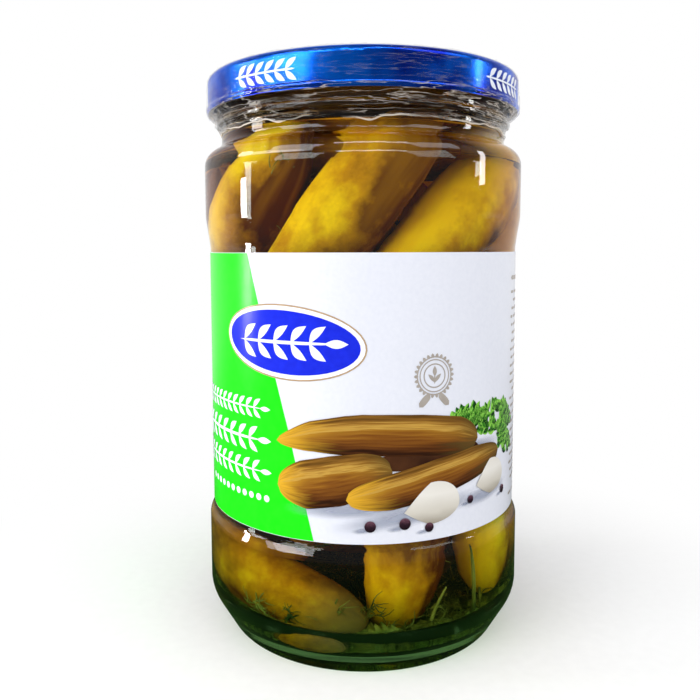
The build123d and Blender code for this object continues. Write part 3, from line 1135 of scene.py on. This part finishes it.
def shrunk_film():
    """Clear film with gloss at grazing angles, and white creases that are partly painted highlight."""
    made, tree = new_material("polyolefin_film_shrunk")
    place = add(tree, "TexCoord").outputs["Object"]
    # The finest level gathers are about 3.5 mm long and 0.5 mm high.
    level = add(tree, "Mapping", {"Vector": place, "Scale": (1.0, 1.0, 7.0)})
    gathers = add(tree, "TexNoise", {"Vector": level, "Scale": per_mm(7), "Detail": 3.0, "Distortion": 0.6})
    creased = add(tree, "Bump", {"Height": gathers, "Strength": 0.8, "Distance": 0.5 * MM})
    clear = add(tree, "BsdfTransparent", {"Color": "#FCFCFC"})
    gloss = add(tree, "BsdfGlossy", {"Color": "#FFFFFF", "Roughness": 0.06, "Normal": creased})
    facing = add(tree, "LayerWeight", {"Blend": 0.5, "Normal": creased}).outputs["Facing"]
    grazing = add(tree, "Math", (facing, 4.0), operation="POWER")
    gloss_share = add(tree, "MapRange", {0: grazing, 3: 0.010, 4: 0.40})
    # Where the film clings to the lid, the two shine as one surface, so its own gloss hardly shows.
    height = add(tree, "SeparateXYZ", (place,)).outputs["Z"]
    clings = add(tree, "MapRange", (height, lid_low.z, lid_low.z + 2 * MM, 1.0, 0.12))
    share = add(tree, "Math", (gloss_share, clings), operation="MULTIPLY")
    # Sharp creases whiten the film, and the white lines also stand in for glints: partly real whitening,
    # partly painted highlight. They run level, 6 mm long, and show in patches 8 mm wide.
    creases = add(tree, "Mapping", {"Vector": place, "Scale": (1.0, 1.0, 13.0)})
    crumpled = {"Vector": creases, "Scale": per_mm(13), "Detail": 3.0, "Distortion": 0.3}
    ridge = add(tree, "TexNoise", crumpled)
    from_ridge = add(tree, "Math", (ridge, 0.5), operation="SUBTRACT")
    from_ridge = add(tree, "Math", (from_ridge,), operation="ABSOLUTE")
    line = add(tree, "MapRange", (from_ridge, 0.0, 0.020, 1.0, 0.0))
    patch = add(tree, "TexNoise", {"Vector": place, "Scale": per_mm(16), "Detail": 2.0})
    here = add(tree, "MapRange", (patch, 0.38, 0.56, 0.0, 1.0))
    slack = add(tree, "MapRange", (height, lid_low.z, lid_low.z + 2 * MM, 0.55, 0.07))
    whitened = add(tree, "Math", (line, here), operation="MULTIPLY")
    whitened = add(tree, "Math", (whitened, slack), operation="MULTIPLY")
    # The cut edge at the bottom is whitened too, partly as its own scattering, partly as painted highlight.
    down = add(tree, "Attribute", attribute_name="down").outputs["Fac"]
    cut = add(tree, "MapRange", (down, 0.972, 0.985, 0.0, 0.7))
    cut = add(tree, "Math", (cut, here), operation="MULTIPLY")
    whitened = add(tree, "Math", (whitened, cut), operation="MAXIMUM")
    milky = add(tree, "BsdfDiffuse", {"Color": "#DED2C8"})
    film = add(tree, "MixShader", (share, clear, gloss))
    film = add(tree, "MixShader", (whitened, film, milky))
    from_lamp = add(tree, "LightPath").outputs["Is Shadow Ray"]
    through = add(tree, "BsdfTransparent", {"Color": "#FCFCFC"})
    add(tree, "OutputMaterial", {"Surface": add(tree, "MixShader", (from_lamp, film, through))})
    return made


points, faces, down = film_mesh()
film = new_piece("shrunk_film", points, faces, shrunk_film())
store(film, "down", down)
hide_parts("shrink_band")

# %% [markdown]
# ## Label: paper
#
# The label is wet-strength paper, coated on its face, glued all round with a lap at the back. The
# coating gives it a satin shine, and the glue under it dries a little unevenly, which shows as a very
# slow wave in that shine.

# %% Coated label paper


def coated_paper():
    """White paper with a fine tooth and the slow wave of the glue."""
    made, tree = new_material("paper_coated_satin")
    place = add(tree, "TexCoord").outputs["Object"]
    # Fibres are about 0.1 mm wide, drawn 0.5 mm wide so that they show; the glue waves are 10 mm wide.
    fibre = add(tree, "TexNoise", {"Vector": place, "Scale": per_mm(1.0), "Detail": 3.0})
    wave = add(tree, "TexNoise", {"Vector": place, "Scale": per_mm(20), "Detail": 1.0})
    white = add(tree, "Mix", (fibre, "#D5D8E3", "#DFE1EA"), data_type="RGBA")
    fine = add(tree, "Bump", {"Height": fibre, "Strength": 0.06, "Distance": 0.05 * MM})
    slow = add(tree, "Bump", {"Height": wave, "Strength": 0.35, "Distance": 0.3 * MM, "Normal": fine})
    paper = add(
        tree,
        "BsdfPrincipled",
        {"Base Color": white, "Roughness": 0.24, "Specular IOR Level": 0.3, "Normal": slow},
    )
    add(tree, "OutputMaterial", {"Surface": paper})
    return made


finish_node("label", coated_paper())
label_radius = -label_low.y
label_bottom, label_top = label_low.z / MM, label_high.z / MM


def on_label(name, shapes, ink, layer=0):
    """Prints shapes on the label, a higher layer over a lower one."""
    print_on(name, shapes, label_radius, ink, layer)


print("label from", round(label_bottom, 1), "to", round(label_top, 1), "mm up the jar")

# %% [markdown]
# ## Label: flat colours
#
# A slanted green field covers the left of the label. On it stand a blue oval with a sprig, and rows
# of white leaves and dots where a label has its few large words. A small rosette and a column of grey
# bars stand on the white side. They are plain shapes, so the label belongs to nobody.

# %% Green field
white_ink = printing_ink("label_print_white", "#F2F5FC", "#E9EDF8")
green_ink = printing_ink("label_print_green", "#12DC08", "#1EE012")
blue_ink = printing_ink("label_print_deep_blue", "#0E22CC", "#1128D8")
tan_ink = printing_ink("label_print_tan", "#B59A78", "#A98E6C")
grey_ink = printing_ink("label_print_warm_grey", "#A9A29A", "#9D958D")
margin = 0.12


def green_field(s, t):
    """The green from its slanted edge at the front round to its far edge."""
    up = label_bottom + margin + (label_top - label_bottom - 2 * margin) * t
    slant = np.interp(up, (34.1, 60.6, 86.2, 102.3), (-11.5, -18.0, -25.3, -30.1))
    far_edge = np.interp(up, (34.1, 102.3), (-113.0, -98.0))
    return far_edge + (slant - far_edge) * s, up


on_label("label_green", [drawn(green_field, 84, 40)], green_ink)

# %% Oval badge with a sprig
badge_at, badge_tilt = (-18.7, 81.3), radians(-4)
on_label("label_badge_edge", [disc(badge_at, 19.9, 8.9, badge_tilt)], tan_ink, 1)
on_label("label_badge_rim", [disc(badge_at, 19.5, 8.5, badge_tilt)], white_ink, 2)
on_label("label_badge", [disc(badge_at, 18.4, 7.5, badge_tilt)], blue_ink, 3)


def sprig(left, right, up, leaf, pairs, stem):
    """A stem with leaves in pairs, and one at its tip."""
    shapes = [lens((left, up), (right, up), stem, 0.0, 12, 3, 0.4)]
    step = (right - left - leaf * 0.5) / pairs
    for k in range(pairs):
        root = left + step * (k + 0.35)
        for way in (1, -1):
            tip = (root + leaf * 0.72, up + way * leaf * 0.72)
            shapes.append(lens((root, up), tip, leaf * 0.36, 0.1 * leaf * way))
    shapes.append(lens((right - leaf * 0.4, up), (right + leaf * 0.6, up), leaf * 0.36))
    return shapes


badge_marks = sprig(-33.0, -6.5, 81.3, 5.6, 5, 0.8)

# %% Leaves and small bars in the room of words
rng = np.random.default_rng(3)


def row_of_bars(left, right, low, high, least, most, gap):
    """Bars of uneven lengths that fill a line from right to left."""
    shapes, at = [], right
    while at - left > least:
        width = min(rng.uniform(least, most), at - left)
        shapes.append(bar(at - width, at, low, high))
        at -= width + gap
    return shapes


words = sprig(-57.0, -25.0, 64.8, 3.3, 11, 0.5)
words += sprig(-60.0, -25.5, 57.1, 4.4, 8, 0.8)
words += sprig(-62.0, -25.0, 49.4, 3.7, 10, 0.6)
for k in range(11):
    words.append(disc((-24.4 - 2.6 * k, 42.9), 0.85, 0.85, rows=3, columns=16))
on_label("label_white_shapes", words + badge_marks, white_ink, 4)

small_words = [bar(48.2, 60.0, 95.0, 96.1)]
for k in range(24):
    low = 91.5 - 2.15 * k
    small_words += row_of_bars(48.2, 72 - rng.uniform(0, 8), low, low + 0.7, 2.0, 5.0, 0.8)
small_words += row_of_bars(48.2, 60.0, 38.0, 38.7, 2.0, 5.0, 0.8)

# %% Rosette
seal_at = (17.3, 73.6)
rosette = [disc(seal_at, size, size, 0, hole) for size, hole in ((4.6, 0.93), (3.9, 0.93), (2.9, 0.9))]
for k in range(26):
    turn = 2 * pi * k / 26
    way = np.array([cos(turn), sin(turn)])
    rosette.append(lens(np.array(seal_at) + way * 4.2, np.array(seal_at) + way * 5.3, 0.8, 0.0, 6, 3))
rosette += [lens((17.3, 71.6), (17.3, 74.2), 0.35, 0, 6, 3, 0.4)]
rosette += [lens((17.3, 73.4), (17.3, 75.9), 1.1, 0, 9, 3)]
for way in (1, -1):
    rosette.append(lens((17.3, 72.0), (17.3 + 1.7 * way, 74.0), 0.9, 0.15 * way, 9, 3))
    ribbon = ((17.3 + 1.2 * way, 69.3), (17.3 + 3.9 * way, 66.4))
    rosette.append(lens(ribbon[0], ribbon[1], 1.7, 0.0, 8, 3, 0.25))
on_label("label_grey_shapes", small_words + rosette, grey_ink, 1)

# %% [markdown]
# ## Label: the picture
#
# The label shows three cucumbers, two cloves of garlic, peppercorns and parsley on a soft shadow.
# Each drawn shape keeps how far along and across itself a point lies, so its ink can be shaded round:
# light above, dark below, with streaks along a cucumber. That is how an illustrator paints them.

# %% Outlines of the pictured things


def body(spine, widths, rows=46, columns=15):
    """A rounded body along a bent line of (mm round, mm up) points, with half widths along it."""
    spine = np.array(spine, float)
    at = np.linspace(0, 1, len(spine))
    wide_at = np.linspace(0, 1, len(widths))

    def place(s, t):
        x, y = (np.interp(s, at, spine[:, n]) for n in (0, 1))
        ahead = np.stack([np.interp(s, at, np.gradient(spine[:, n])) for n in (0, 1)])
        ahead /= np.linalg.norm(ahead, axis=0)
        half = np.interp(s, wide_at, widths) * np.sqrt(np.clip(1 - np.abs(2 * s - 1) ** 7, 0, 1))
        off = half * (2 * t - 1)
        return x - ahead[1] * off, y + ahead[0] * off

    return drawn(place, rows, columns)


def clove(centre, wide, tall, lean, points=48):
    """A clove of garlic: domed above, flatter below, and drawn out to a point at the left."""

    def place(s, t):
        turn = 2 * pi * t
        x = -np.cos(turn) * wide
        pointed = np.clip((x / wide + 1) / 0.9, 0, 1) ** 0.55
        y = np.sin(turn) * tall * np.where(np.sin(turn) > 0, 1.0, 0.62) * pointed
        return centre[0] + x * s, centre[1] + y * s + lean * x * s

    return drawn(place, 10, points)


cucumbers = [
    body(
        [(-21.2, 57.8), (-12, 59.6), (0, 60.4), (14, 59.8), (24, 58.8), (30.6, 57.2)],
        (1.6, 3.4, 4.6, 4.9, 4.8, 4.5, 3.6),
    ),
    body([(-21.0, 47.2), (-14, 47.9), (-6, 49.4), (1, 51.0), (7, 51.6)], (3.6, 5.8, 6.0, 5.2, 4.2)),
    body([(-3.8, 44.9), (6, 46.6), (18, 49.2), (30, 51.4), (39.8, 52.8)], (2.9, 4.2, 4.5, 4.0, 2.8)),
]
hollow_between = [body([(2, 53.2), (12, 54.2), (24, 55.0), (31, 55.2)], (1.6, 2.6, 2.6, 1.2))]
garlic = [level_with(clove((17.2, 42.2), 7.4, 6.2, 0.08)), level_with(clove((36.3, 45.6), 6.1, 5.4, 0.06))]
print("widest pictured cucumber:", round(float(np.ptp(cucumbers[0][0][:, 0])), 1), "mm round the jar")
peppercorns = [
    ((1.8, 38.7), 1.35),
    ((10.0, 39.0), 1.4),
    ((16.1, 37.6), 1.15),
    ((28.2, 42.3), 1.0),
    ((42.5, 41.6), 1.1),
]

# %% Shaded inks


def shaded_ink(name, stops, streaks, left=None, right=None):
    """Ink whose colour goes by how far across a shape a point is, with streaks along it and tinted ends."""
    made, tree = new_material(name)
    place = add(tree, "Attribute", attribute_name="drawn").outputs["Vector"]
    local = add(tree, "SeparateXYZ", (place,))
    along, across, coarse = streaks
    stretched = add(tree, "Mapping", {"Vector": place, "Scale": (along, across, 3.7)})
    streak = add(tree, "TexNoise", {"Vector": stretched, "Scale": 1.0, "Detail": 3.0})
    moved = add(tree, "Math", (streak, coarse, local.outputs["Y"]), operation="MULTIPLY_ADD")
    level = add(tree, "Math", (moved, coarse * 0.5), operation="SUBTRACT")
    colour = add(tree, "ValToRGB", {"Fac": level}, stops=stops)
    for end, tinted in ((0.0, left), (1.0, right)):
        if tinted:
            length, strength, tint = tinted
            start = end + 0.5 * (0.5 - end)
            ragged = add(tree, "Math", (streak, 0.5 - end, local.outputs["X"]), operation="MULTIPLY_ADD")
            ends = (ragged, start, start + length, strength, 0.0)
            share = add(tree, "MapRange", ends, interpolation_type="SMOOTHSTEP")
            colour = add(tree, "Mix", (share, colour, tint), data_type="RGBA")
    ink = add(tree, "BsdfPrincipled", {"Base Color": colour, "Roughness": 0.26, "Specular IOR Level": 0.2})
    add(tree, "OutputMaterial", {"Surface": ink})
    return made


cucumber_ink = shaded_ink(
    "label_picture_cucumber",
    [
        (0.02, "#2E1606"),
        (0.2, "#542C0C"),
        (0.42, "#7C4A12"),
        (0.6, "#98681A"),
        (0.7, "#BC9440"),
        (0.8, "#8E6220"),
        (1.0, "#5C3C10"),
    ],
    (3.0, 13.0, 0.72),
    (0.30, 0.85, "#DCA826"),
    (-0.35, 0.7, "#5C4A1E"),
)
ivory = [(0.0, "#989082"), (0.3, "#C8C3B8"), (0.7, "#E0DDD6"), (1.0, "#DAD6CE")]
garlic_ink = shaded_ink("label_picture_garlic", ivory, (2.0, 3.0, 0.2))
plum_black = [(0.0, "#140A10"), (0.5, "#2E1A26"), (1.0, "#6A4452")]
pepper_ink = shaded_ink("label_picture_pepper", plum_black, (9.0, 9.0, 0.9))
leaf_green = [(0.2, "#0E3A0C"), (0.5, "#2C7A18"), (0.85, "#86C84A")]
parsley_ink = shaded_ink("label_picture_parsley", leaf_green, (0.8, 0.8, 2.2))

for ink in (cucumber_ink, garlic_ink, pepper_ink, parsley_ink):
    print(ink.name, "has", len(ink.node_tree.nodes), "nodes")

# %% Parsley behind the cucumbers
parsley = []
for k in range(96):
    turn, ring = rng.uniform(0, 2 * pi), sqrt(rng.uniform(0, 1))
    cluster = ((27.0, 61.8, 5.0, 2.0), (38.0, 60.6, 7.6, 3.8), (44.0, 56.0, 4.6, 6.0))[k % 3]
    at = np.array([cluster[0] + cluster[2] * ring * cos(turn), cluster[1] + cluster[3] * ring * sin(turn)])
    heading = rng.uniform(0.2, 2.9)
    for spread in (-0.8, 0, 0.8):
        way = np.array([cos(heading + spread), sin(heading + spread)])
        parsley.append(lens(at, at + way * rng.uniform(1.9, 3.4), rng.uniform(1.3, 2.2), 0.1, 7, 3, 0.8))
on_label("label_parsley", parsley, parsley_ink, 1)

# %% Soft shadow under the picture


def soft_shadow_ink():
    """Grey ink that fades out from the middle of each shape."""
    made, tree = new_material("label_picture_shadow")
    local = add(tree, "SeparateXYZ", (add(tree, "Attribute", attribute_name="drawn").outputs["Vector"],))
    from_middle = (local.outputs["X"], 0.25, 1.0, 0.5, 0.0)
    fade = add(tree, "MapRange", from_middle, interpolation_type="SMOOTHSTEP")
    clear = add(tree, "BsdfTransparent", {"Color": "#FFFFFF"})
    grey = add(tree, "BsdfPrincipled", {"Base Color": "#8A93AA", "Roughness": 0.34})
    add(tree, "OutputMaterial", {"Surface": add(tree, "MixShader", (fade, clear, grey))})
    return made


shadows = [
    disc((-3, 42.6), 18, 2.6, radians(3), rows=12),
    disc((12, 41.0), 22, 3.0, radians(9), rows=12),
    disc((34, 42.6), 12, 2.4, radians(6), rows=12),
    disc((26, 55.0), 16, 2.4, radians(2), rows=12),
]
for centre, size in peppercorns:
    fallen = (centre[0] - 1.4 * size, centre[1] - 0.8 * size)
    shadows.append(disc(fallen, size * 2.0, size * 0.6, 0.1, rows=8))
on_label("label_shadows", shadows, soft_shadow_ink(), 2)
dark_ink = printing_ink("label_picture_dark_brown", "#2C160A", "#4E2C14", mottle_mm=4.0)
on_label("label_hollow", hollow_between, dark_ink, 3)
for k, pictured in enumerate(cucumbers):
    on_label(f"label_cucumber_{k + 1}", [pictured], cucumber_ink, 4 + k)
on_label("label_garlic", garlic, garlic_ink, 7)
grains = [level_with(disc(centre, size, size, rows=7, columns=24)) for centre, size in peppercorns]
on_label("label_peppercorns", grains, pepper_ink, 8)

# %% [markdown]
# ## Floor
#
# The jar stands on matt white card that runs on without an end. Lit card would turn grey towards the
# edges of the view, so it fades from lit card round the jar, where the shadow lies, to a plain white
# glow further out. Light Path tells the camera's rays from those that glass and enamel mirror or bend.

# %% Floor
scene = bpy.context.scene
scene.view_settings.view_transform = "Standard"


def mirrored_or_bent(tree, path):
    """1 for a ray that gloss mirrors or glass bends, else 0."""
    rays = (path.outputs["Is Glossy Ray"], path.outputs["Is Transmission Ray"])
    return add(tree, "Math", rays, operation="MAXIMUM")


def white_card():
    """Lit card near the jar that turns into a plain glow, and dims for mirrored and bent rays, with a
    painted shadow and green gleam under the foot.
    """
    made, tree = new_material("white_card_matt")
    place = add(tree, "TexCoord").outputs["Object"]
    # The card's tooth is about 1.5 mm wide.
    tooth = add(tree, "TexNoise", {"Vector": place, "Scale": per_mm(3), "Detail": 3.0})
    shade = add(tree, "Mix", (tooth, "#F3F3F3", "#FAFAFA"), data_type="RGBA")
    card = add(tree, "BsdfDiffuse", {"Color": shade})
    path = add(tree, "LightPath")
    bent = mirrored_or_bent(tree, path)
    seen = add(tree, "Math", (bent, path.outputs["Is Camera Ray"]), operation="MAXIMUM")
    away = add(tree, "VectorMath", (place,), operation="LENGTH")
    fade = add(tree, "MapRange", (away, 0.045, 0.15, 0.0, 1.0), interpolation_type="SMOOTHSTEP")
    # Glass and enamel mirror the dim side of the room too, so the card darkens for them towards it.
    depth = add(tree, "SeparateXYZ", (place,)).outputs["Y"]
    room_side = add(tree, "MapRange", (depth, 0.0, 0.5, 0.12, 0.8), interpolation_type="SMOOTHSTEP")
    # Painted shadow: for mirrored and bent rays the glow dims steeply towards the jar's foot, standing in
    # for its own shadow, which is what the foot looks down on.
    shadow = add(tree, "MapRange", (away, 0.060, 0.19, 0.06, 1.0), interpolation_type="SMOOTHSTEP")
    shaded = add(tree, "Math", (room_side, shadow), operation="MULTIPLY")
    # Painted light: under the foot the glow for mirrored and bent rays is raised a little and tinted green,
    # as a gleam of light come down through the green foot.
    under = add(tree, "Math", (1.0, shadow), operation="SUBTRACT")
    gleaming = add(tree, "Math", (under, 0.11, shaded), operation="MULTIPLY_ADD")
    level = add(tree, "Mix", (bent, 1.0, gleaming), data_type="FLOAT")
    greened = add(tree, "Math", (under, bent), operation="MULTIPLY")
    gleam = add(tree, "Mix", (greened, "#FFFFFF", "#6CB458"), data_type="RGBA")
    glowing = add(tree, "Math", (fade, bent), operation="MAXIMUM")
    share = add(tree, "Math", (glowing, seen), operation="MULTIPLY")
    glow = add(tree, "Emission", {"Color": gleam, "Strength": level})
    from_above = add(tree, "MixShader", (share, card, glow))
    # From below the card is clear, so that the jar's underside can be looked at.
    below = add(tree, "NewGeometry").outputs["Backfacing"]
    nothing = add(tree, "BsdfTransparent", {"Color": "#FFFFFF"})
    add(tree, "OutputMaterial", {"Surface": add(tree, "MixShader", (below, from_above, nothing))})
    return made


floor_size = 3.0
floor_data = bpy.data.meshes.new("floor")
corners = [(x * floor_size, y * floor_size, 0) for x, y in ((-1, -1), (1, -1), (1, 1), (-1, 1))]
floor_data.from_pydata(corners, [], [(0, 1, 2, 3)])
floor_data.materials.append(white_card())
floor = bpy.data.objects.new("floor", floor_data)
scene.collection.objects.link(floor)
floor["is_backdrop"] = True
print("floor of white card,", 2 * floor_size, "m wide")

# %% [markdown]
# ## Room
#
# The room is a studio with a white far wall and a dimmer side behind the camera. An all-white room
# would be simpler, but then the glass mirrors white from everywhere, and a grey veil hides what is in
# the jar. The camera itself sees pure white, and matt surfaces get an even, weak light.

# %% World
world = bpy.data.worlds.new("white_room")
scene.world = world
world.use_nodes = True
world.node_tree.nodes.clear()
room = world.node_tree
path = add(room, "LightPath")
heading = add(room, "SeparateXYZ", (add(room, "TexCoord").outputs["Generated"],))
towards_wall = (heading.outputs["Y"], 0.0, 0.7, 0.11, 0.85)
far_wall = add(room, "MapRange", towards_wall, interpolation_type="SMOOTHSTEP")
seen = mirrored_or_bent(room, path)
bent = add(room, "Math", (seen, far_wall), operation="MULTIPLY")
lighting = add(room, "MapRange", {0: seen, 3: 0.55, 4: 0.0})
soft = add(room, "Math", (bent, lighting), operation="ADD")
strength = add(room, "Math", (path.outputs["Is Camera Ray"], soft), operation="MAXIMUM")
add(room, "OutputWorld", {"Surface": add(room, "Background", {"Color": "#FFFFFF", "Strength": strength})})
print("the room has", len(room.nodes), "nodes")

# %% [markdown]
# ## Lamps
#
# A softbox at the upper left models the cucumbers, and a weaker one at the right fills their shadows.
# Glass shows each lamp as a highlight, so every lamp is placed by its mirror image: a narrow strip at
# the left gives the upright highlight beside the label, and a low card gives the glints on the neck.
# Light passes through several skins of glass and film, so rays may go through up to 32 clear ones.

# %% Lamps
scene.cycles.transparent_max_bounces = 32


def soft_lamp(name, place, size, radiance):
    """A rectangular lamp aimed at the middle of the jar; its radiance is 1 where it looks white."""
    lamp = bpy.data.lights.new(name, "AREA")
    lamp.shape = "RECTANGLE"
    lamp.size, lamp.size_y = size
    lamp.energy = radiance * size[0] * size[1] * pi
    lit = bpy.data.objects.new(name, lamp)
    lit.location = place
    lit.rotation_euler = (Vector((0, 0, 0.08)) - Vector(place)).to_track_quat("-Z", "Y").to_euler()
    scene.collection.objects.link(lit)
    print(name, "at", [round(c, 2) for c in place], "m")


soft_lamp("key_softbox", (-0.95, -0.78, 0.80), (0.8, 0.7), 4.7)
soft_lamp("fill_card", (0.95, -0.62, 0.95), (0.8, 0.6), 2.7)
soft_lamp("side_card", (-1.0, -0.55, 0.45), (0.9, 0.16), 5.0)
soft_lamp("ceiling_panel", (0.10, -0.75, 1.05), (0.9, 0.10), 11.0)
soft_lamp("left_strip", (-0.62, -0.03, 0.100), (0.06, 0.155), 30.0)
soft_lamp("left_card", (-0.62, -0.03, 0.30), (0.14, 0.15), 9.0)
soft_lamp("right_strip", (0.62, -0.03, 0.25), (0.06, 0.16), 13.0)

# %% [markdown]
# ## Size of the finished model
#
# The looks must not make the jar bigger than its CAD, so the box round everything that is shown is
# measured.

# %% Box of the finished model
low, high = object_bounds()
